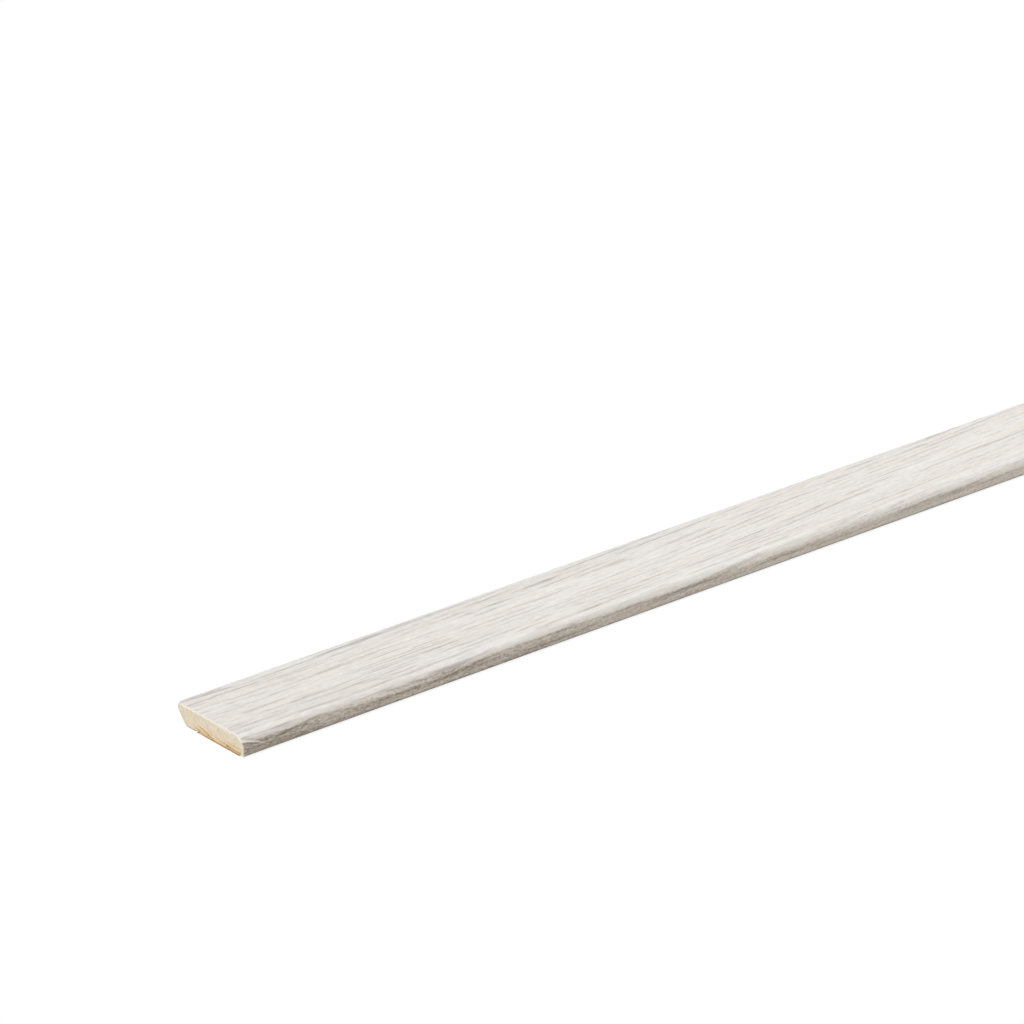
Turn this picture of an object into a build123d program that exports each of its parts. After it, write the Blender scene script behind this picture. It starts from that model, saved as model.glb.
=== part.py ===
"""Self-adhesive skirting board: a slim softwood moulding wrapped in a wood-print foil.

The board lies on its back with its face up. +X runs along the board, -Y points to its
rounded nose and +Y to its undercut lip. The origin is on the floor, under the middle of
the board. Lengths are in millimetres and angles in degrees.
"""

import os
from math import radians, tan

from build123d import *

# Driving dimensions of the wrapped board
length = 2400.0  # stock length, sawn square at both ends
width = 25.0  # overall, from the nose to the tip of the lip
board_thickness = 4.9  # from the foil on the back to the face
undercut_angle = 42.5  # how far the lip's underside leans from square
nose_radius = 3.0  # where the face rolls over into the nose
lip_radius = 0.5  # tip of the lip
foot_radius = 0.4  # the two long arrises of the back

# Driving dimensions of the foil, and of the tape and its liner on the back
foil_thickness = 0.3
nose_return = 1.0  # foil turned onto the back, measured from the nose
lip_return = 3.4  # foil turned onto the back, measured from the foot of the undercut
bare_margin = 0.5  # wood left bare beside each turned edge of the foil
tape_proud = 0.04  # how far the tape stands out beyond the turned foil
liner_thickness = 0.06
finger_lift = 1.0  # strip of liner left free of the tape, to peel it by

# Levels, from the floor up
foil_back = liner_thickness + tape_proud
core_back = foil_back + foil_thickness
face = foil_back + board_thickness
tape_thickness = core_back - liner_thickness

# Stations across the board, from the nose to the lip
nose = -width / 2
nose_turn_in = nose + nose_return
half_lip_angle = radians(90 - undercut_angle) / 2
sharp_tip = width / 2 + lip_radius * (1 / tan(half_lip_angle) - 1)
foot = sharp_tip - board_thickness * tan(radians(undercut_angle))
lip_turn_in = foot - lip_return
tape_edge = nose_turn_in + bare_margin
liner_width = lip_turn_in - bare_margin - tape_edge
tape_width = liner_width - finger_lift

# Every piece is drawn as a section on the sawn end and runs the whole length
sawn_end = Plane.YZ.offset(-length / 2)
low_corner = (Align.MIN, Align.MIN)

# Outside of the foil, closed across the back
with BuildSketch() as wrapped_outline:
    with BuildLine():
        Polyline(
            (nose, foil_back), (foot, foil_back), (sharp_tip, face), (nose, face), close=True
        )
    make_face()
    fillet(wrapped_outline.vertices().group_by(Axis.Y)[-1].sort_by(Axis.X)[0], nose_radius)
    fillet(wrapped_outline.vertices().sort_by(Axis.X)[-1], lip_radius)
    fillet(wrapped_outline.vertices().group_by(Axis.Y)[0], foot_radius)

# The wood fills the foil, so its outline is the same one, a foil thickness further in
with BuildSketch() as core_outline:
    add(wrapped_outline.sketch)
    offset(amount=-foil_thickness, mode=Mode.REPLACE)

with BuildPart() as wood_core:
    with BuildSketch(sawn_end):
        add(core_outline.sketch)
    extrude(amount=length)

# One skin over the face, the nose and the undercut, with both edges turned onto the back
with BuildPart() as decor_foil:
    with BuildSketch(sawn_end):
        add(wrapped_outline.sketch)
        add(core_outline.sketch, mode=Mode.SUBTRACT)
        with Locations((nose_turn_in, foil_back)):
            Rectangle(
                lip_turn_in - nose_turn_in, foil_thickness, align=low_corner, mode=Mode.SUBTRACT
            )
    extrude(amount=length)

# The tape sticks to the bare wood between the two turned edges
with BuildPart() as adhesive_tape:
    with BuildSketch(sawn_end):
        with Locations((tape_edge, liner_thickness)):
            Rectangle(tape_width, tape_thickness, align=low_corner)
    extrude(amount=length)

# The liner covers the tape, and one edge of it stands free
with BuildPart() as release_liner:
    with BuildSketch(sawn_end):
        with Locations((tape_edge, 0)):
            Rectangle(liner_width, liner_thickness, align=low_corner)
    extrude(amount=length)

wood_core.part.label = "wood_core"
decor_foil.part.label = "decor_foil"
adhesive_tape.part.label = "adhesive_tape"
release_liner.part.label = "release_liner"

os.makedirs("parts", exist_ok=True)
for piece in (wood_core, decor_foil, adhesive_tape, release_liner):
    export_step(piece.part, f"parts/{piece.part.label}.step")
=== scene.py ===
"""Looks of the self-adhesive skirting board: a printed foil with a creased, sawn end, the softwood
inside it, the tape and its paper liner, on a white floor in soft light from the left.

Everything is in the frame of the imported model: +X along the board, -Y to its nose. Lengths are in metres,
or in mm where a comment says so. Places along the board count from its left end. Depths on the foil count
from the edge of the face: down over the nose, and negative on the face, the lip and beyond.
"""

from math import ceil, radians, tan

import bpy
import numpy as np
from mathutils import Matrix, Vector


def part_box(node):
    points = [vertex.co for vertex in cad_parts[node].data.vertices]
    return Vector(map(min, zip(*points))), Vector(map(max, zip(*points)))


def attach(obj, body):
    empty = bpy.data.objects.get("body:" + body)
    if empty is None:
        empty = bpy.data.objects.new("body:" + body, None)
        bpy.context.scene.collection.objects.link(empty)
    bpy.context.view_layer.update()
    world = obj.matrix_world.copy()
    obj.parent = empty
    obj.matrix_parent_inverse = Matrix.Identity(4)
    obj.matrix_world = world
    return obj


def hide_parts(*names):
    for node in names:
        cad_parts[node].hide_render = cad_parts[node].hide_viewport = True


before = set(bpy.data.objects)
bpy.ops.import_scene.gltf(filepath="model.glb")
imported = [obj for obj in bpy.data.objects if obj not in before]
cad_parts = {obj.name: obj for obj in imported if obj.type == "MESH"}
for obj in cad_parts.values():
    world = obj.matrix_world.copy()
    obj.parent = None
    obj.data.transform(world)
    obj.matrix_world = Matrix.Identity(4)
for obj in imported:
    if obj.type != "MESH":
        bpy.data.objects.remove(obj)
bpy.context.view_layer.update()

MM = 0.001


def srgb(red, green, blue):
    """A colour as a picture shows it, from 0 to 255, as linear light."""
    shown = np.array((red, green, blue)) / 255
    linear = np.where(shown <= 0.04045, shown / 12.92, ((shown + 0.055) / 1.055) ** 2.4)
    return (*(float(part) for part in linear), 1.0)


# The section of the board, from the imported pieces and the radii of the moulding
foil_low, foil_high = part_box("decor_foil")
core_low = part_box("wood_core")[0]
left_end, nose, foil_back = foil_low
right_end, lip, face = foil_high
length = right_end - left_end
foil_thickness = core_low[2] - foil_back
nose_radius = 3.0 * MM
lip_radius = 0.5 * MM
foot_radius = 0.4 * MM
undercut_angle = 42.5  # degrees from square
nose_return = 1.0 * MM  # foil turned onto the back, behind the nose
lip_return = 3.4 * MM  # and behind the undercut
half_lip_angle = radians(90 - undercut_angle) / 2
sharp_tip = lip + lip_radius * (1 / tan(half_lip_angle) - 1)

# How finely the section and the length are divided. Each stretch of the length has a start, an end and
# a step, in mm.
nose_step = 0.09 * MM
face_step = 0.5 * MM
bend_least = 4  # divisions of a round, at the least
length_steps = (
    (0.0, 9.0, 0.15),
    (9.0, 60.0, 1.5),
    (60.0, 300.0, 6.0),
    (300.0, 2398.4, 20.0),
    (2398.4, 2400.0, 0.2),
)
smooth_angle = 40.0  # degrees between faces that still shade as one
straight_down = -0.999  # a normal that points further down than this is on the flat back

# Where the skins lie on their textures, which run from 0 to 1 each way. Each skin is cut across, at
# places in mm, into bands that lie one above the other.
texture_margin = 0.01
foil_cuts = (150.0, 900.0, 1650.0)
foil_pitch = 0.24  # from one band to the next
foil_inside = 0.08  # height of the hidden inside of the foil, where the outside has 1
foil_gap = 0.02  # between the two
foil_rim = 0.008  # height of a sawn edge of the foil
foil_rim_levels = (0.965, 0.983)
core_cuts = (800.0, 1600.0)
core_pitch = 0.2
core_margin = 0.02  # beside a sawn end of the wood
core_end_levels = (0.6, 0.79)

# Damage at the left end: chipped foil, a worn lip, and a crease across the nose, with painted shade
# under and above the crease. The crease's route is in mm along the board and mm down, and its lines
# have a middle and a half width in mm below the route.
chip_depth = 0.12 * MM
ragged_weights = (0.1, 0.25, 0.3, 0.25, 0.1)  # of each ragged depth and its neighbours
worn_radius = 1.1 * MM
worn_length = 1.3 * MM
worn_power = 1.5  # by which the wear fades along the board
greying_wear = 0.5 * MM  # wear that turns the foil grey
pale_edge = 0.3  # mm of foil whitened beside the saw cut, at the least
pale_ragged = 0.25  # mm more, here and there
pale_fade = 0.15  # mm over which the white ends
crease_route = (
    (0.0, 3.0), (1.4, 3.18), (2.8, 3.57), (4.3, 3.95), (5.2, 4.38), (6.2, 4.96), (7.0, 5.35), (7.6, 5.8),
)
crease_fade = ((0.0, 1.0), (4.5, 0.85), (7.8, 0.0))
crease_height = 0.18 * MM
crease_rise = 0.7  # mm of foil that lifts above the crease
crease_drop = 0.1  # mm below it
crease_white = (-0.1, 0.26)
# painted shadow under the crease, and painted shade above it
painted_shadow_under_crease = (0.24, 0.16)
painted_shade_above_crease = (-0.72, 0.28)
painted_shade_above_share = 0.45  # painted shade above the crease, as a share of the painted shadow below it
painted_shade_above_start = 0.5  # mm along the board where that painted shade begins

# The dark band of the print on the nose: where it starts, in mm along and mm down, and how strong it is
# along the board
band_route = (
    (0.0, 3.05), (2.0, 2.95), (3.9, 3.28), (5.2, 3.42), (6.7, 3.45), (8.6, 3.6), (9.6, 3.85),
    (11.0, 3.8), (12.9, 3.5), (15.8, 3.3), (17.3, 3.2), (22.0, 2.9), (28.0, 3.2), (36.0, 3.9),
    (48.0, 4.2), (60.0, 4.1), (70.0, 3.3), (100.0, 3.2), (125.0, 3.6), (160.0, 3.9), (270.0, 4.0),
    (700.0, 3.0), (1200.0, 3.8), (1800.0, 3.0), (2400.0, 3.6),
)
band_strength = (
    (0.0, 1.0), (14.0, 1.0), (22.0, 0.8), (60.0, 0.7), (90.0, 0.6), (120.0, 0.45), (150.0, 0.3),
    (270.0, 0.2), (500.0, 0.7), (800.0, 0.3), (1150.0, 0.75), (1500.0, 0.3), (1850.0, 0.7),
    (2150.0, 0.4), (2400.0, 0.8),
)

# Parts of the band, in mm below its start, and how dark they are from 0 to 1
band_edge = (-0.35, 0.55)
band_shade = 0.26
rim_edge = (0.3, 0.9)
rim_shade = 0.3
fringe_edge = (-1.7, -0.6)
fringe_shade = 0.14
heart_shade = 0.4  # lines in the band

# The print's main streaks near the left end: where each starts and ends along the board, its depths at
# the start, the middle and the end, its half width, all in mm, and its strength
streaks = (
    (7.0, 25.0, 4.45, 3.55, 2.75, 0.5, 0.9),
    (33.0, 47.0, 2.9, 2.6, 2.4, 0.3, 0.5),
    (38.0, 55.0, 4.75, 4.7, 4.75, 0.42, 0.8),
    (49.0, 77.0, 5.15, 4.4, 3.2, 0.6, 1.1),
    (72.0, 107.0, 5.05, 5.3, 5.6, 0.42, 0.9),
    (75.0, 108.0, 3.3, 3.5, 3.6, 0.38, 0.65),
    (104.0, 128.0, 3.7, 3.9, 4.1, 0.5, 0.65),
    (120.0, 150.0, 4.05, 4.2, 4.5, 0.5, 1.1),
    (157.0, 195.0, 4.5, 5.0, 5.4, 0.6, 0.5),
    (200.0, 250.0, 5.1, 4.7, 4.1, 0.6, 0.5),
    (-6.0, 19.0, -20.75, -20.4, -19.3, 0.6, 0.7),
    (12.0, 46.0, -19.2, -19.4, -19.6, 0.5, 0.75),
    (36.0, 65.0, -19.8, -20.1, -20.2, 0.6, 0.5),
    (-4.0, 10.0, -18.1, -18.2, -18.1, 0.5, 0.6),
    (11.0, 43.0, -16.9, -17.1, -16.9, 0.5, 0.6),
    (26.0, 62.0, -12.6, -13.2, -12.7, 0.42, 0.55),
    (33.0, 76.0, -7.9, -8.5, -7.3, 0.42, 0.6),
    (40.0, 70.0, -6.0, -6.3, -5.2, 0.38, 0.5),
    (38.0, 51.0, -1.9, -1.6, -1.0, 0.38, 0.5),
    (52.0, 67.0, -15.6, -15.9, -16.1, 0.42, 0.55),
)
streak_depth = 0.5  # of the print's range of tones
streak_fade = (0.2, 0.5)  # from the middle of a streak, as shares of its length

# How light the ground of the print is along the board, with painted shade that darkens it towards
# the left end, and how much darker it gets with depth, as shares of the print's range of tones.
# Places and depths are in mm.
ground_lightness_and_painted_shade = (
    (0.0, 0.795), (35.0, 0.797), (90.0, 0.828), (155.0, 0.845), (230.0, 0.88), (320.0, 0.862),
    (2400.0, 0.862),
)
ground_shade = (
    (-24.0, 0.042), (-21.0, 0.085), (-18.2, 0.078), (-14.5, 0.014), (-10.5, 0.0), (-6.5, 0.05),
    (-2.5, 0.068), (0.5, 0.042), (8.0, 0.042),
)

# The printed grain climbs towards the lip along the board, in a slow wave
drift_height = 5.5  # mm
drift_length = 620.0  # mm
drift_middle = 205.0  # mm from the left end to where it climbs most

# Noise of the print. Sizes are in mm along the board and round the section. The waves' heights are in mm
# too, and the other heights are in tones.
slow_wave = dict(size=(70.0, 7.0, 0.0), seed=1.7, detail=1.0, height=4.0)
quick_wave = dict(size=(14.0, 2.0, 0.0), seed=4.4, detail=1.0, height=1.2)
print_clouds = dict(size=(34.0, 3.0, 0.0), seed=8.3, height=0.36)
print_flecks = dict(size=(2.6, 0.5, 0.0), seed=3.9, height=0.62)
nose_mottle = dict(size=(0.95, 0.32, 0.0), seed=5.7, height=3.0)
mottle_least = 0.3  # share of the mottle where the band is faintest
warm_patches = dict(size=(40.0, 3.0, 0.0), seed=7.9)
warm_range = (0.4, 0.7)
warm_share = 0.5

# Lines of the print: how far apart they are, how thick, and how long each shows, in mm. Each has noise of
# its own, and shows where that lies between faint and strong.
bold_lines = dict(spacing=1.9, thickness=0.6, reach=15.0, seed=2.6, faint=0.36, strong=0.66)
fine_lines = dict(spacing=0.83, thickness=0.3, reach=8.0, seed=6.1, faint=0.40, strong=0.66)
heart_lines = dict(spacing=0.95, thickness=0.42, reach=22.0, seed=9.4, faint=0.40, strong=0.62)
bold_depth = 0.41  # of the print's range of tones
fine_depth = 0.25
line_jump = 7.31  # noise between one line and the next
line_detail = 1.5

# Where the foil changes with depth, in mm
highlight_edge = (0.7, 1.4)  # a painted highlight: the print is paler over the round, from here
highlight_end = (1.6, 2.4)  # to here
highlight_band = (0.3, 0.9)  # strengths of the band
highlight_tones = (0.15, 0.05)  # and how much paler the painted highlight makes the print beside them
mottle_edge = (2.5, 4.0)
cream_edge = (2.0, 4.5)
# painted shade along the foot of the nose, next to the floor
foot_shade_edge = (5.9, 6.6)
nose_back_edge = (7.6, 8.2)
lip_edge = (-22.5, -21.0)
lip_back_edge = (-28.4, -27.6)

# Colours and finish of the foil
print_tones = (
    (0.0, srgb(168, 161, 154)),
    (0.35, srgb(198, 193, 188)),
    (0.7, srgb(224, 220, 215)),
    (1.0, srgb(238, 236, 232)),
)
warm_white = srgb(255, 250, 244)
band_brown = srgb(184, 174, 158)
nose_cream = srgb(255, 249, 240)
# colour of the painted shade along the foot of the nose
foot_painted_shade = srgb(158, 156, 147)
torn_white = srgb(238, 233, 223)
torn_cream = srgb(214, 200, 176)
torn_brown = srgb(186, 164, 138)
# grey where the lip is worn, and the colour of the painted shade along the crease
worn_grey_and_painted_shade = srgb(150, 143, 130)
worn_grey_and_shade_share = 0.5
foil_tones = (0.2, 0.9)
foil_roughness = (0.46, 0.38)  # at those tones
foil_relief = 0.01 * MM

# Growth rings of the wood: where their middle is, and how strongly the brown latewood shows across the
# board, both in mm
pith = (0.0, -11.0, 47.0)
across_grain = (0.0, 1.0, 1.0)
ring_width = 1.14
dark_ring = 46.37  # from the middle
ring_phase = 0.89  # where in its ring the dark line lies
ring_wander = dict(size=(180.0, 3.0, 3.0), seed=4.0, height=0.5)
late_start = (0.35, 0.85)  # of a ring
late_end = (0.93, 1.0)
ring_strength = (
    (-12.5, 0.9), (-5.8, 1.0), (-4.6, 0.5), (-1.8, 0.45), (0.4, 0.95), (2.4, 0.95), (4.4, 0.7),
    (6.0, 0.15), (12.5, 0.1),
)

# Noise of the wood, with sizes in mm along, across and up, and the shares that it gives
wood_blotches = dict(size=(12.0, 1.5, 1.5), seed=6.0)
wood_patches = dict(size=(50.0, 1.6, 1.2), seed=8.0)
patch_range = (0.36, 0.6)
patch_shares = (0.6, 1.0)
wood_specks = dict(size=(5.0, 0.9, 0.6), seed=9.0)
gold_specks = (0.5, 0.66)
pale_specks = (0.34, 0.5)
speck_share = 0.5
wood_fibres = dict(size=(4.0, 0.16, 0.16), seed=1.0)
fibre_range = (0.55, 0.75)
fibre_share = 0.22

# Where the wood changes, in mm above the floor, and how much
late_levels = (1.2, 2.6)
late_least = 0.08
late_shown = (0.0, 0.55)  # of the latewood
gold_levels = (0.7, 2.4)
gold_share = 0.8
foot_levels = (0.45, 0.8)
foot_share = 0.6
pale_side = (-12.2, -11.5)  # mm across the board, beside the nose
pale_levels = (2.9, 3.6)
strip_levels = (4.46, 4.7)  # of a pale strip under the face
strip_slope = 0.059  # its climb towards the lip
strip_share = 0.75

# Colours and finish of the wood
wood_tones = ((0.3, srgb(225, 211, 185)), (0.5, srgb(232, 219, 196)), (0.7, srgb(237, 227, 207)))
late_tones = ((0.0, srgb(226, 198, 148)), (0.45, srgb(210, 164, 106)), (1.0, srgb(142, 98, 60)))
wood_gold = srgb(226, 190, 124)
foot_brown = srgb(168, 128, 90)
wood_cream = srgb(238, 230, 215)
speck_gold = srgb(226, 202, 158)
speck_cream = srgb(240, 228, 210)
fibre_brown = srgb(214, 192, 156)
wood_roughness = 0.82
wood_relief = 0.03 * MM

# The tape and its liner: noise with sizes in mm, colours and finish. Roughness changes with the clouds.
cloud_range = (0.3, 0.7)
tape_clouds = dict(size=(6.0, 2.0, 1.0), seed=2.0, detail=3.0)
tape_tones = ((0.3, srgb(150, 110, 70)), (0.7, srgb(182, 144, 100)))
tape_thin = (0.5, 4.5)  # mm across the board where the tape's brown thins out
tape_thin_share = 0.9
tape_pale = srgb(226, 206, 178)
tape_roughness = (0.35, 0.55)
tape_relief = 0.03 * MM
liner_fibres = dict(size=(1.6, 0.22, 0.22), seed=3.0, detail=3.0)
liner_clouds = dict(size=(14.0, 5.0, 5.0), seed=5.0)
fibre_weight = 0.6
cloud_weight = 0.4
liner_tones = ((0.3, srgb(150, 112, 74)), (0.5, srgb(178, 140, 97)), (0.7, srgb(196, 162, 120)))
liner_roughness = (0.42, 0.6)
liner_relief = 0.02 * MM

# The photograph's camera
camera_place = (-2.028123, -1.100764, 0.681922)
camera_azimuth = -39.8332  # degrees
camera_elevation = 24.4250
camera_lens = 235.955  # mm
camera_sensor = 36.0  # mm wide

# Light: a broad lamp high on the left, and an even sky. Together they give about 1 on the face.
lamp_share = 0.82
lamp_lean = 30.0  # degrees from straight up, towards the left end
lamp_turn = 8.0  # and towards the nose
lamp_spread = 50.0  # degrees across
sky_strength = 0.2
white = (1.0, 1.0, 1.0, 1.0)
floor_grey = (0.62, 0.62, 0.62, 1.0)  # how much light the floor sends back to the board
floor_drop = 0.02 * MM  # keeps the floor clear of the liner
floor_reach = 20.0
floor_glow = 0.75  # share of the floor's white that no shadow dims


# Section

def run(start, end, normal, step):
    """Points of a straight stretch, with its outward normal."""
    start, end = np.array(start), np.array(end)
    count = max(1, ceil(np.linalg.norm(end - start) / step))
    share = np.linspace(0, 1, count + 1)[:, None]
    return start + (end - start) * share, np.tile(normal, (count + 1, 1))


def bend(centre, radius, first, last, step):
    """Points of a round stretch, between two directions of its normal in degrees."""
    count = max(bend_least, ceil(abs(radians(last - first)) * radius / step))
    turn = np.radians(np.linspace(first, last, count + 1))
    normals = np.column_stack((np.cos(turn), np.sin(turn)))
    return np.array(centre) + normals * radius, normals


def wrapped_section():
    """Outside of the foil, from its turned edge behind the nose to the one behind the lip.

    Gives the points as (y, z), their outward normals, their distances round the section, and the
    distance at which the face ends and the nose begins to roll over."""
    foot = sharp_tip - (face - foil_back) * tan(radians(undercut_angle))
    nose_foot = (nose + foot_radius, foil_back + foot_radius)
    nose_round = (nose + nose_radius, face - nose_radius)
    lip_round = (lip - lip_radius, face - lip_radius)
    lip_foot = (foot - foot_radius * tan(half_lip_angle), foil_back + foot_radius)
    lip_bend = bend(lip_round, lip_radius, 90, -undercut_angle, nose_step)
    foot_bend = bend(lip_foot, foot_radius, -undercut_angle, -90, nose_step)
    to_face = (
        run((nose + nose_return, foil_back), (nose_foot[0], foil_back), (0, -1), nose_step),
        bend(nose_foot, foot_radius, 270, 180, nose_step),
        run((nose, nose_foot[1]), (nose, nose_round[1]), (-1, 0), nose_step),
        bend(nose_round, nose_radius, 180, 90, nose_step),
    )
    stretches = (
        *to_face,
        run((nose_round[0], face), (lip_round[0], face), (0, 1), face_step),
        lip_bend,
        run(lip_bend[0][-1], foot_bend[0][0], lip_bend[1][-1], face_step),
        foot_bend,
        run((lip_foot[0], foil_back), (foot - lip_return, foil_back), (0, -1), face_step),
    )
    points = np.concatenate([stretches[0][0]] + [part[0][1:] for part in stretches[1:]])
    normals = np.concatenate([stretches[0][1]] + [part[1][1:] for part in stretches[1:]])
    steps = np.linalg.norm(np.diff(points, axis=0), axis=1)
    distances = np.concatenate(([0.0], np.cumsum(steps)))
    face_start = sum(len(part[0]) - 1 for part in to_face)
    return points, normals, distances, distances[face_start]


def worn(spots, depth):
    """Points of the section with the lip worn to a larger round, for a skin at this depth."""
    centre = np.array((sharp_tip - worn_radius / tan(half_lip_angle), face - worn_radius))
    reach = spots - centre
    turn = np.degrees(np.arctan2(reach[:, 1], reach[:, 0]))
    distance = np.linalg.norm(reach, axis=1)
    over = (turn > -undercut_angle) & (turn < 90) & (distance > worn_radius - depth)
    return centre + reach * np.where(over, (worn_radius - depth) / distance, 1.0)[:, None]


def stations():
    """Places along the board, from close together at the damaged left end to far apart."""
    stretches = [
        np.linspace(start, end, ceil((end - start) / step), endpoint=False)
        for start, end, step in length_steps
    ]
    return left_end + np.append(np.concatenate(stretches), length_steps[-1][1]) * MM


def along_route(along, route):
    """Values of a route, given as (mm along, value), at places in mm."""
    stops = np.array(route)
    return np.interp(along, stops[:, 0], stops[:, 1])


# Meshes

def loft(name, rings, caps):
    """A closed skin through equal rings of points, with faces given for its two ends."""
    rings = np.asarray(rings)
    rows, around = rings.shape[:2]
    row, place = np.meshgrid(np.arange(rows - 1), np.arange(around), indexing="ij")
    after = (place + 1) % around
    this_ring, next_ring = row * around, (row + 1) * around
    corners = (this_ring + place, this_ring + after, next_ring + after, next_ring + place)
    quads = np.stack(corners, axis=-1).reshape(-1, 4)
    first = [list(reversed(cap)) for cap in caps]
    last = [[(rows - 1) * around + corner for corner in cap] for cap in caps]
    mesh = bpy.data.meshes.new(name)
    mesh.from_pydata(rings.reshape(-1, 3).tolist(), [], quads.tolist() + first + last)
    mesh.shade_smooth()
    mesh.set_sharp_from_angle(angle=radians(smooth_angle))
    piece = bpy.data.objects.new(name, mesh)
    bpy.context.scene.collection.objects.link(piece)
    return piece


def inside_margin(share, margin):
    """A share from 0 to 1, drawn in to leave a margin at both ends."""
    return margin + (1 - 2 * margin) * share


def lay_flat(piece, rings, caps, around_share, cuts, pitch, cap_spots):
    """Lays a lofted skin out flat for its texture, from 0 to 1 each way.

    The skin is cut across into bands, one above the other, and around_share says how high each point of
    a ring lies in its band. The two ends lie where cap_spots puts each point of their rings."""
    along = rings[:, 0, 0]
    band = np.searchsorted(left_end + np.array(cuts) * MM, (along[:-1] + along[1:]) / 2)
    low, high = np.empty(len(band)), np.empty(len(band))
    for number in range(len(cuts) + 1):
        inside = np.flatnonzero(band == number)
        start, end = along[inside[0]], along[inside[-1] + 1]
        low[inside] = inside_margin((along[inside] - start) / (end - start), texture_margin)
        high[inside] = inside_margin((along[inside + 1] - start) / (end - start), texture_margin)
    level = texture_margin + band[:, None] * pitch + around_share * (pitch - 2 * texture_margin)
    sides = np.stack((low, low, high, high), axis=-1)[:, None]
    u = np.broadcast_to(sides, (len(band), level.shape[1] - 1, 4))
    v = np.stack((level[:, :-1], level[:, 1:], level[:, 1:], level[:, :-1]), axis=-1)
    first = [cap_spots[0][list(reversed(cap))] for cap in caps]
    last = [cap_spots[1][cap] for cap in caps]
    corners = np.concatenate([np.stack((u, v), axis=-1).reshape(-1, 2), *first, *last])
    layer = piece.data.uv_layers.new(name="OFBake")
    layer.data.foreach_set("uv", corners.astype(np.float32).ravel())


def give_vectors(piece, name, values):
    """Stores a vector for every point of a piece's mesh."""
    layer = piece.data.attributes.new(name, "FLOAT_VECTOR", "POINT")
    layer.data.foreach_set("vector", np.asarray(values, dtype=np.float32).ravel())


def ragged(count, depth, seed):
    """Uneven depths, from nothing to the given depth, each like its neighbours."""
    draw = np.random.default_rng(seed).random(count)
    around = np.pad(draw, len(ragged_weights) // 2, mode="wrap")
    soft = np.convolve(around, ragged_weights, mode="valid")
    return depth * (soft - soft.min()) / (soft.max() - soft.min())


def line_at(places, middle, half_width):
    """A soft line across places in mm: 1 at its middle."""
    return np.exp(-(((places - middle) / half_width) ** 2))


def creased(along, down):
    """For points of the nose, both in mm: lift, paleness and painted shade of the crease, each 0 to 1."""
    below = down - along_route(along, crease_route)
    share = along_route(along, crease_fade)
    rise = np.clip(1 + below / crease_rise, 0, 1) ** 2
    drop = np.clip(1 - below / crease_drop, 0, 1)
    lift = share * np.where(below < 0, rise, drop)
    pale = share * line_at(below, *crease_white)
    begun = np.clip(along - painted_shade_above_start, 0, 1)
    over = painted_shade_above_share * begun * line_at(below, *painted_shade_above_crease)
    # painted shade: a shadow line under the crease and shade above it
    return lift, pale, share * np.maximum(line_at(below, *painted_shadow_under_crease), over)


# What the foil and the wood share: the section, the places along the board and the wear at each
points, normals, distances, face_start = wrapped_section()
count = len(points)
places = stations()
along = (places - left_end)[:, None] / MM
wear = np.clip(1 - along * MM / worn_length, 0, 1)[..., None] ** worn_power


def print_vectors(rubbed, pale, shade):
    """For the outside of the foil: mm along, mm round the section less the drift, and a tone from 1
    where it is torn white to -1 where the worn lip is grey and the crease has painted shade."""
    drift = drift_height * np.sin(2 * np.pi * (along - drift_middle) / drift_length)
    from_end = np.minimum(along, length / MM - along)
    greyed = np.clip(np.linalg.norm(rubbed, axis=-1) / greying_wear, 0, 1)
    frayed = pale_edge + ragged(count, pale_ragged, seed=5)
    torn = np.maximum(pale, np.clip((frayed - from_end) / pale_fade, 0, 1) * (1 - greyed))
    wear_and_shade_tone = torn - np.maximum(shade, greyed * (1 - torn))
    return np.stack((np.broadcast_to(along, torn.shape), distances / MM - drift, wear_and_shade_tone), axis=-1)


def make_foil():
    """The printed foil: one thin sheet round the wood, chipped at the saw cuts and creased at one end."""
    down = np.broadcast_to((face_start - distances) / MM, (len(places), count))
    lift, pale, shade = creased(along, down)
    rubbed = (worn(points, 0.0) - points) * wear
    outer = points + rubbed + normals * (crease_height * lift)[..., None]
    skin = points - normals * foil_thickness
    inner = skin + (worn(skin, foil_thickness) - skin) * wear
    across = np.concatenate((outer, inner[:, ::-1]), axis=1)
    along_ring = np.repeat(places[:, None], 2 * count, axis=1)
    along_ring[0] += ragged(2 * count, chip_depth, seed=3)
    along_ring[-1] -= ragged(2 * count, chip_depth, seed=4)
    rings = np.concatenate((along_ring[..., None], across), axis=2)
    caps = [[spot + 1, spot, 2 * count - 1 - spot, 2 * count - 2 - spot] for spot in range(count - 1)]
    piece = loft("decor_foil_wrap", rings, caps)
    outside_share = distances / distances[-1]
    inside_share = 1 + foil_gap + foil_inside * (1 - outside_share[::-1])
    around_share = np.concatenate((outside_share, inside_share, [1 + 2 * foil_gap + foil_inside]))
    strip = inside_margin(np.concatenate((outside_share, outside_share[::-1])), texture_margin)
    rim = np.repeat((0.0, foil_rim), count)
    cap_spots = [np.column_stack((strip, base + rim)) for base in foil_rim_levels]
    lay_flat(piece, rings, caps, around_share / around_share[-1], foil_cuts, foil_pitch, cap_spots)
    outside = print_vectors(rubbed, pale, shade)
    inside = outside[:, ::-1].copy()
    inside[..., 2] = 1.0  # as where it is torn, the foil's own colour shows
    give_vectors(piece, "print", np.concatenate((outside, inside), axis=1))
    strength = np.broadcast_to(along_route(along, band_strength), down.shape)
    wrap = np.stack((down - along_route(along, band_route), strength, down), axis=-1)
    give_vectors(piece, "wrap", np.concatenate((wrap, wrap[:, ::-1]), axis=1))
    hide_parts("decor_foil")
    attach(piece, "root")
    return piece


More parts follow.
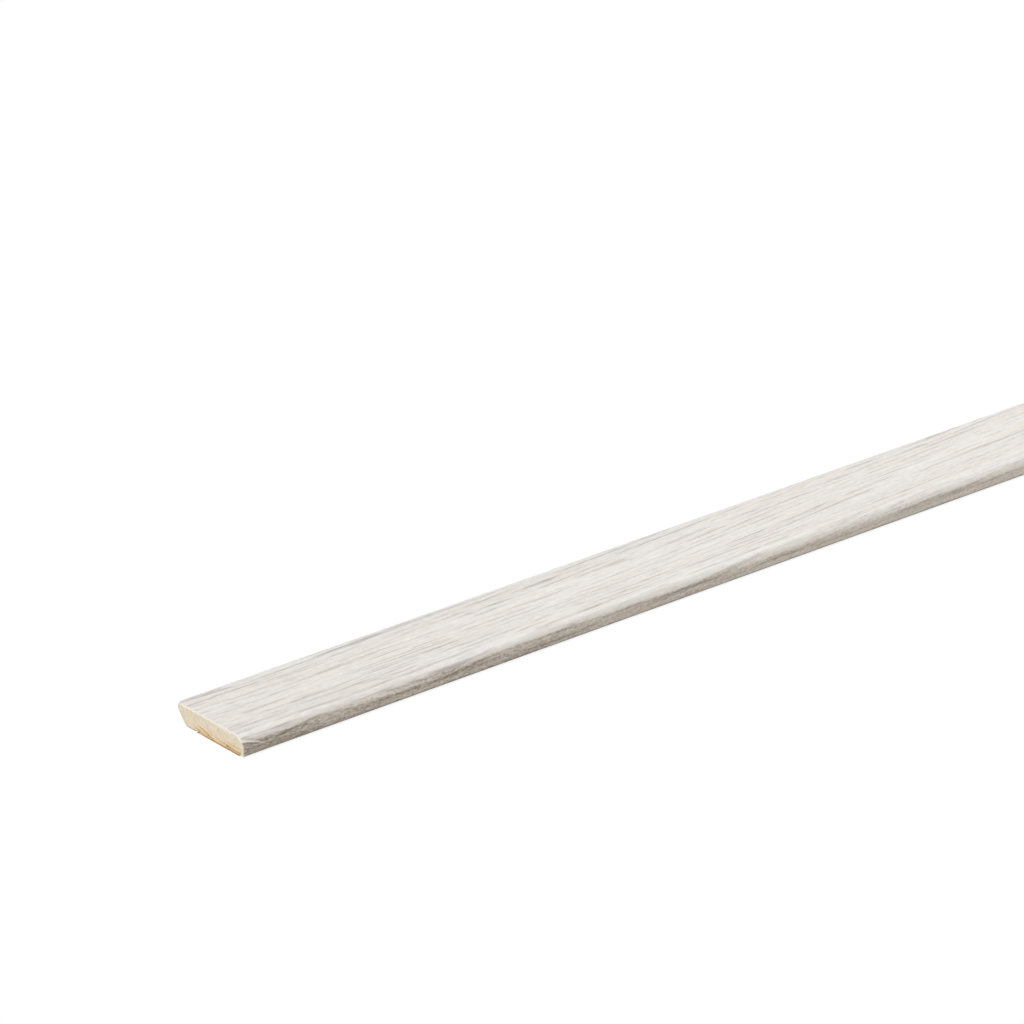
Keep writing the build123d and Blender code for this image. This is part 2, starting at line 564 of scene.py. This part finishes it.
def make_core():
    """The softwood strip inside the foil, with its sawn ends."""
    on_wood = (points[:, 1] > foil_back + foil_thickness) | (normals[:, 1] > straight_down)
    outline = (points - normals * foil_thickness)[on_wood]
    across = outline + (worn(outline, foil_thickness) - outline) * wear
    along_ring = np.repeat(places[:, None], len(outline), axis=1)
    rings = np.concatenate((along_ring[..., None], across), axis=2)
    caps = [list(range(len(outline)))]
    piece = loft("wood_core_strip", rings, caps)
    steps = np.linalg.norm(np.diff(outline, axis=0, append=outline[:1]), axis=1)
    around_share = np.concatenate(([0.0], np.cumsum(steps))) / steps.sum()
    spots = inside_margin((outline - outline.min(axis=0)) / np.ptp(outline[:, 0]), core_margin)
    cap_spots = [spots + (0.0, base) for base in core_end_levels]
    lay_flat(piece, rings, caps, around_share, core_cuts, core_pitch, cap_spots)
    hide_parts("wood_core")
    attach(piece, "root")
    return piece


# Nodes

def new_material(name):
    """A material, its node tree and its shader."""
    made = bpy.data.materials.new(name)
    made.use_nodes = True
    return made, made.node_tree, made.node_tree.nodes["Principled BSDF"]


def feed(tree, socket, value):
    """Sets an input, or links it where the value is another node's output."""
    if isinstance(value, bpy.types.NodeSocket):
        tree.links.new(value, socket)
    else:
        socket.default_value = value


def put(tree, kind, inputs, **settings):
    """A new node with these settings and inputs."""
    made = tree.nodes.new(kind)
    for key, value in settings.items():
        setattr(made, key, value)
    for key, value in inputs.items():
        feed(tree, made.inputs[key], value)
    return made


def maths(tree, operation, first, second=0.0):
    """One operation on one or two values."""
    return put(tree, "ShaderNodeMath", {0: first, 1: second}, operation=operation).outputs[0]


def plus(tree, first, second):
    """Two values added."""
    return maths(tree, "ADD", first, second)


def minus(tree, first, second):
    """One value less another."""
    return maths(tree, "SUBTRACT", first, second)


def times(tree, first, second):
    """Two values multiplied."""
    return maths(tree, "MULTIPLY", first, second)


def larger(tree, first, second):
    """The larger of two values."""
    return maths(tree, "MAXIMUM", first, second)


def vectors(tree, operation, first, second=(0.0, 0.0, 0.0)):
    """One operation on one or two vectors."""
    return put(tree, "ShaderNodeVectorMath", {0: first, 1: second}, operation=operation).outputs


def blend(tree, share, first, second, way="MIX"):
    """Two colours mixed by a share, at the sockets that a mix of colours uses."""
    inputs = {0: share, 6: first, 7: second}
    return put(tree, "ShaderNodeMix", inputs, data_type="RGBA", blend_type=way).outputs[2]


def remap(tree, value, low, high, to_low=0.0, to_high=1.0):
    """A value taken smoothly from one range to another, and held at its ends."""
    inputs = {0: value, 1: low, 2: high, 3: to_low, 4: to_high}
    return put(tree, "ShaderNodeMapRange", inputs, interpolation_type="SMOOTHSTEP").outputs[0]


def fade(tree, value, low, high):
    """1 up to a low value, and nothing from a high one on."""
    return remap(tree, value, low, high, 1.0, 0.0)


def ramp(tree, value, stops):
    """Colours at stops from 0 to 1, with even changes between them."""
    made = put(tree, "ShaderNodeValToRGB", {0: value})
    elements = made.color_ramp.elements
    while len(elements) < len(stops):
        elements.new(0.5)
    for element, (place, colour) in zip(elements, stops):
        element.position = place
        element.color = colour
    return made.outputs[0]


def follow(tree, value, route):
    """Values of a route, given as (place, value), at a place."""
    first, last = route[0][0], route[-1][0]
    share = put(tree, "ShaderNodeMapRange", {0: value, 1: first, 2: last}).outputs[0]
    stops = [((place - first) / (last - first), (level, level, level, 1.0)) for place, level in route]
    return ramp(tree, share, stops)


def marks(tree, place, size, seed, detail=2.0):
    """Noise whose marks have about this size, in the units of the place."""
    scale = [1 / part if part else 0.0 for part in size]
    inputs = {"Vector": place, "Location": (0.0, 0.0, seed), "Scale": scale}
    stretched = put(tree, "ShaderNodeMapping", inputs).outputs[0]
    inputs = {"Vector": stretched, "Scale": 1.0, "Detail": detail}
    return put(tree, "ShaderNodeTexNoise", inputs).outputs[0]


def swing(tree, place, height, **noise):
    """Noise as a swing about nothing, with this height where it goes from 0 to 1."""
    return times(tree, minus(tree, marks(tree, place, **noise), 0.5), height)


def grain_lines(tree, lengthwise, across, spacing, thickness, reach, seed, faint, strong):
    """Thin lines along the print, each with stretches of its own where it shows: 0 to 1."""
    turns = maths(tree, "DIVIDE", across, spacing)
    number = maths(tree, "FLOOR", turns)
    off = maths(tree, "ABSOLUTE", minus(tree, maths(tree, "FRACT", turns), 0.5))
    line = fade(tree, off, 0.0, thickness / spacing)
    inputs = {0: maths(tree, "DIVIDE", lengthwise, reach), 1: times(tree, number, line_jump), 2: seed}
    spot = put(tree, "ShaderNodeCombineXYZ", inputs).outputs[0]
    inputs = {"Vector": spot, "Scale": 1.0, "Detail": line_detail}
    shown = put(tree, "ShaderNodeTexNoise", inputs).outputs[0]
    return times(tree, line, remap(tree, shown, faint, strong))


def streak(tree, lengthwise, down, start, end, first, middle, last, half_width):
    """One streak of the print, on a gentle curve through three depths, faint at its ends: 0 to 1."""
    share = maths(tree, "DIVIDE", minus(tree, lengthwise, start), end - start)
    slope = 4 * middle - 3 * first - last
    curve = 2 * first - 4 * middle + 2 * last
    depth = times(tree, share, plus(tree, times(tree, share, curve), slope))
    off = maths(tree, "ABSOLUTE", minus(tree, minus(tree, down, first), depth))
    from_middle = maths(tree, "ABSOLUTE", minus(tree, share, 0.5))
    return times(tree, fade(tree, off, 0.0, half_width), fade(tree, from_middle, *streak_fade))


def bump(tree, shader, height, depth):
    """Relief of this depth, in metres, on a shader."""
    inputs = {"Strength": 1.0, "Distance": depth, "Height": height}
    feed(tree, shader.inputs["Normal"], put(tree, "ShaderNodeBump", inputs).outputs[0])


def split(tree, vector):
    """The three parts of a vector."""
    return put(tree, "ShaderNodeSeparateXYZ", {0: vector}).outputs


def attribute(tree, name):
    """A vector stored on the mesh."""
    return put(tree, "ShaderNodeAttribute", {}, attribute_name=name).outputs["Vector"]


def in_millimetres(tree):
    """The place of a point, in mm."""
    spot = put(tree, "ShaderNodeTexCoord", {}).outputs["Object"]
    return put(tree, "ShaderNodeVectorMath", {0: spot, 3: 1 / MM}, operation="SCALE").outputs[0]


# Materials

def print_tone(tree, place, lengthwise, bent, down, strength):
    """How light the print is, painted highlight and shade included: 0 is its darkest grey, 1 its white."""
    tone = plus(tree, swing(tree, place, **print_clouds), swing(tree, place, **print_flecks))
    mottle = times(tree, swing(tree, place, **nose_mottle), remap(tree, strength, 0.0, 1.0, mottle_least))
    tone = plus(tree, tone, times(tree, mottle, remap(tree, down, *mottle_edge)))
    for lines, depth in ((bold_lines, bold_depth), (fine_lines, fine_depth)):
        tone = minus(tree, tone, times(tree, grain_lines(tree, lengthwise, bent, **lines), depth))
    for *route, share in streaks:
        mark = streak(tree, lengthwise, down, *route)
        tone = minus(tree, tone, times(tree, mark, share * streak_depth))
    # A painted highlight: the print is lighter along the round of the nose
    stretched = times(tree, remap(tree, down, *highlight_edge), fade(tree, down, *highlight_end))
    stretched = times(tree, stretched, remap(tree, strength, *highlight_band, *highlight_tones))
    # the print's ground, with painted shade that darkens it towards the left end
    ground = minus(tree, follow(tree, lengthwise, ground_lightness_and_painted_shade), follow(tree, down, ground_shade))
    return plus(tree, plus(tree, tone, stretched), ground)


def band_darkness(tree, lengthwise, bent, below, strength):
    """How dark the band on the nose is, with its rim, its lines and a fringe above it."""
    in_band = times(tree, remap(tree, below, *band_edge), strength)
    rim = times(tree, in_band, remap(tree, below, *rim_edge, rim_shade, 0.0))
    heart = times(tree, grain_lines(tree, lengthwise, bent, **heart_lines), heart_shade)
    darkness = times(tree, in_band, plus(tree, heart, band_shade))
    fringe = times(tree, remap(tree, below, *fringe_edge, 0.0, fringe_shade), strength)
    return plus(tree, plus(tree, darkness, fringe), rim)


def torn_colour(tree, down):
    """The foil's own colour, where it is cut or torn: white above, browner at the lip and on the back."""
    turned = larger(tree, fade(tree, down, *lip_edge), remap(tree, down, *nose_back_edge))
    colour = blend(tree, turned, torn_white, torn_cream)
    return blend(tree, fade(tree, down, *lip_back_edge), colour, torn_brown)


def foil_material():
    """Whitewashed oak printed on a satin film: thin grey-beige lines on near white, a dark band on the
    nose, white where torn, grey where the lip is worn, and a painted highlight and painted shade."""
    made, tree, shader = new_material("oak_print_foil")
    place = attribute(tree, "print")
    lengthwise, across, wear_and_shade_tone = split(tree, place)
    below, strength, down = split(tree, attribute(tree, "wrap"))
    waves = plus(tree, swing(tree, place, **slow_wave), swing(tree, place, **quick_wave))
    bent = plus(tree, across, waves)
    tone = print_tone(tree, place, lengthwise, bent, down, strength)
    colour = ramp(tree, tone, print_tones)
    warmth = remap(tree, marks(tree, place, **warm_patches), *warm_range, 0.0, warm_share)
    colour = blend(tree, warmth, colour, warm_white, "MULTIPLY")
    darkness = band_darkness(tree, lengthwise, bent, below, strength)
    colour = blend(tree, darkness, colour, band_brown, "MULTIPLY")
    colour = blend(tree, remap(tree, down, *cream_edge), colour, nose_cream, "MULTIPLY")
    # painted shade along the foot of the nose, next to the floor
    colour = blend(tree, remap(tree, down, *foot_shade_edge), colour, foot_painted_shade, "MULTIPLY")
    colour = blend(tree, larger(tree, wear_and_shade_tone, 0.0), colour, torn_colour(tree, down))
    # grey where the lip is worn, and painted shade along the crease
    shade = larger(tree, times(tree, wear_and_shade_tone, -worn_grey_and_shade_share), 0.0)
    colour = blend(tree, shade, colour, worn_grey_and_painted_shade, "MULTIPLY")
    feed(tree, shader.inputs["Base Color"], colour)
    feed(tree, shader.inputs["Roughness"], remap(tree, tone, *foil_tones, *foil_roughness))
    bump(tree, shader, tone, foil_relief)
    return made


def latewood(tree, place):
    """The dark outer part of every growth ring: 0 to 1."""
    from_pith = vectors(tree, "SUBTRACT", place, pith)[0]
    flat = vectors(tree, "MULTIPLY", from_pith, across_grain)[0]
    radius = plus(tree, vectors(tree, "LENGTH", flat)["Value"], swing(tree, place, **ring_wander))
    turns = maths(tree, "DIVIDE", minus(tree, radius, dark_ring), ring_width)
    growth = maths(tree, "FRACT", plus(tree, turns, ring_phase))
    return times(tree, remap(tree, growth, *late_start), fade(tree, growth, *late_end))


def pale_wood(tree, sideways, level):
    """Where the wood is palest: beside the nose, and in a strip under the face."""
    beside_nose = times(tree, fade(tree, sideways, *pale_side), fade(tree, level, *pale_levels))
    slanted = minus(tree, level, times(tree, sideways, strip_slope))
    return larger(tree, beside_nose, remap(tree, slanted, *strip_levels, 0.0, strip_share))


def wood_material():
    """Pale softwood: cream, golden towards the back, with brown latewood lines low in the section."""
    made, tree, shader = new_material("softwood")
    place = in_millimetres(tree)
    _, sideways, level = split(tree, place)
    patchy = remap(tree, marks(tree, place, **wood_patches), *patch_range, *patch_shares)
    patchy = times(tree, patchy, follow(tree, sideways, ring_strength))
    low = times(tree, remap(tree, level, *late_levels, 1.0, late_least), patchy)
    late = times(tree, latewood(tree, place), low)
    colour = ramp(tree, marks(tree, place, **wood_blotches), wood_tones)
    gold = times(tree, fade(tree, level, *gold_levels), patchy)
    colour = blend(tree, times(tree, gold, gold_share), colour, wood_gold)
    colour = blend(tree, remap(tree, late, *late_shown), colour, ramp(tree, late, late_tones))
    foot = times(tree, fade(tree, level, *foot_levels), patchy)
    colour = blend(tree, times(tree, foot, foot_share), colour, foot_brown)
    colour = blend(tree, pale_wood(tree, sideways, level), colour, wood_cream)
    specks = marks(tree, place, **wood_specks)
    colour = blend(tree, remap(tree, specks, *gold_specks, 0.0, speck_share), colour, speck_gold)
    colour = blend(tree, remap(tree, specks, *pale_specks, speck_share, 0.0), colour, speck_cream)
    fibres = marks(tree, place, **wood_fibres)
    fibrous = remap(tree, fibres, *fibre_range, 0.0, fibre_share)
    colour = blend(tree, fibrous, colour, fibre_brown, "MULTIPLY")
    feed(tree, shader.inputs["Base Color"], colour)
    feed(tree, shader.inputs["Roughness"], wood_roughness)
    bump(tree, shader, fibres, wood_relief)
    return made


def adhesive_material():
    """Amber acrylic adhesive on a thin carrier."""
    made, tree, shader = new_material("adhesive")
    place = in_millimetres(tree)
    clouds = marks(tree, place, **tape_clouds)
    thin = remap(tree, split(tree, place)[1], *tape_thin, 0.0, tape_thin_share)
    colour = blend(tree, thin, ramp(tree, clouds, tape_tones), tape_pale)
    feed(tree, shader.inputs["Base Color"], colour)
    feed(tree, shader.inputs["Roughness"], remap(tree, clouds, *cloud_range, *tape_roughness))
    bump(tree, shader, clouds, tape_relief)
    return made


def liner_material():
    """Brown kraft paper with a slight silicone sheen."""
    made, tree, shader = new_material("kraft_liner")
    place = in_millimetres(tree)
    fibres = marks(tree, place, **liner_fibres)
    clouds = marks(tree, place, **liner_clouds)
    pulp = plus(tree, times(tree, fibres, fibre_weight), times(tree, clouds, cloud_weight))
    feed(tree, shader.inputs["Base Color"], ramp(tree, pulp, liner_tones))
    feed(tree, shader.inputs["Roughness"], remap(tree, clouds, *cloud_range, *liner_roughness))
    bump(tree, shader, pulp, liner_relief)
    return made


def dress(piece, material):
    """Gives a whole piece one material."""
    piece.data.materials.clear()
    piece.data.materials.append(material)


# Stage

def seen_directly(tree):
    """1 for rays that show the stage itself: from the camera, in gloss or through glass."""
    path = put(tree, "ShaderNodeLightPath", {}).outputs
    either = larger(tree, path["Is Camera Ray"], path["Is Glossy Ray"])
    return larger(tree, either, path["Is Transmission Ray"])


def make_floor():
    """A white floor that keeps a soft part of the board's shadow."""
    signs = ((-1, -1), (1, -1), (1, 1), (-1, 1))
    corners = [(x * floor_reach, y * floor_reach, -floor_drop) for x, y in signs]
    mesh = bpy.data.meshes.new("floor")
    mesh.from_pydata(corners, [], [(0, 1, 2, 3)])
    floor = bpy.data.objects.new("floor", mesh)
    bpy.context.scene.collection.objects.link(floor)
    made = bpy.data.materials.new("white_floor")
    made.use_nodes = True
    tree = made.node_tree
    tree.nodes.clear()
    shade = put(tree, "ShaderNodeBsdfDiffuse", {"Color": floor_grey}).outputs[0]
    shown = put(tree, "ShaderNodeBsdfDiffuse", {"Color": white}).outputs[0]
    glow = put(tree, "ShaderNodeEmission", {"Color": white, "Strength": 1.0}).outputs[0]
    lit = put(tree, "ShaderNodeMixShader", {0: floor_glow, 1: shown, 2: glow}).outputs[0]
    surface = put(tree, "ShaderNodeMixShader", {0: seen_directly(tree), 1: shade, 2: lit}).outputs[0]
    feed(tree, put(tree, "ShaderNodeOutputMaterial", {}).inputs["Surface"], surface)
    mesh.materials.append(made)


def make_light():
    """A broad lamp high on the left and an even sky, which shows as white."""
    to_lamp = Vector((-tan(radians(lamp_lean)), -tan(radians(lamp_turn)), 1.0)).normalized()
    lamp = bpy.data.lights.new("lamp", "SUN")
    lamp.energy = lamp_share * np.pi / to_lamp.z
    lamp.angle = radians(lamp_spread)
    holder = bpy.data.objects.new("lamp", lamp)
    holder.rotation_euler = to_lamp.to_track_quat("Z", "Y").to_euler()
    bpy.context.scene.collection.objects.link(holder)
    world = bpy.data.worlds.new("sky")
    bpy.context.scene.world = world
    world.use_nodes = True
    tree = world.node_tree
    sky = tree.nodes["Background"]
    sky.inputs["Color"].default_value = white
    strength = remap(tree, seen_directly(tree), 0.0, 1.0, sky_strength, 1.0)
    feed(tree, sky.inputs["Strength"], strength)


def make_camera():
    """The photograph's view of the left end."""
    data = bpy.data.cameras.new("camera")
    data.sensor_width = camera_sensor
    data.lens = camera_lens
    camera = bpy.data.objects.new("camera", data)
    camera.location = Vector(camera_place)
    camera.rotation_euler = (radians(90 - camera_elevation), 0.0, radians(camera_azimuth))
    bpy.context.scene.collection.objects.link(camera)
    bpy.context.scene.camera = camera


dress(make_foil(), foil_material())
dress(make_core(), wood_material())
dress(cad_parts["adhesive_tape"], adhesive_material())
dress(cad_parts["release_liner"], liner_material())
make_floor()
make_light()
make_camera()
bpy.context.scene.view_settings.view_transform = "Standard"
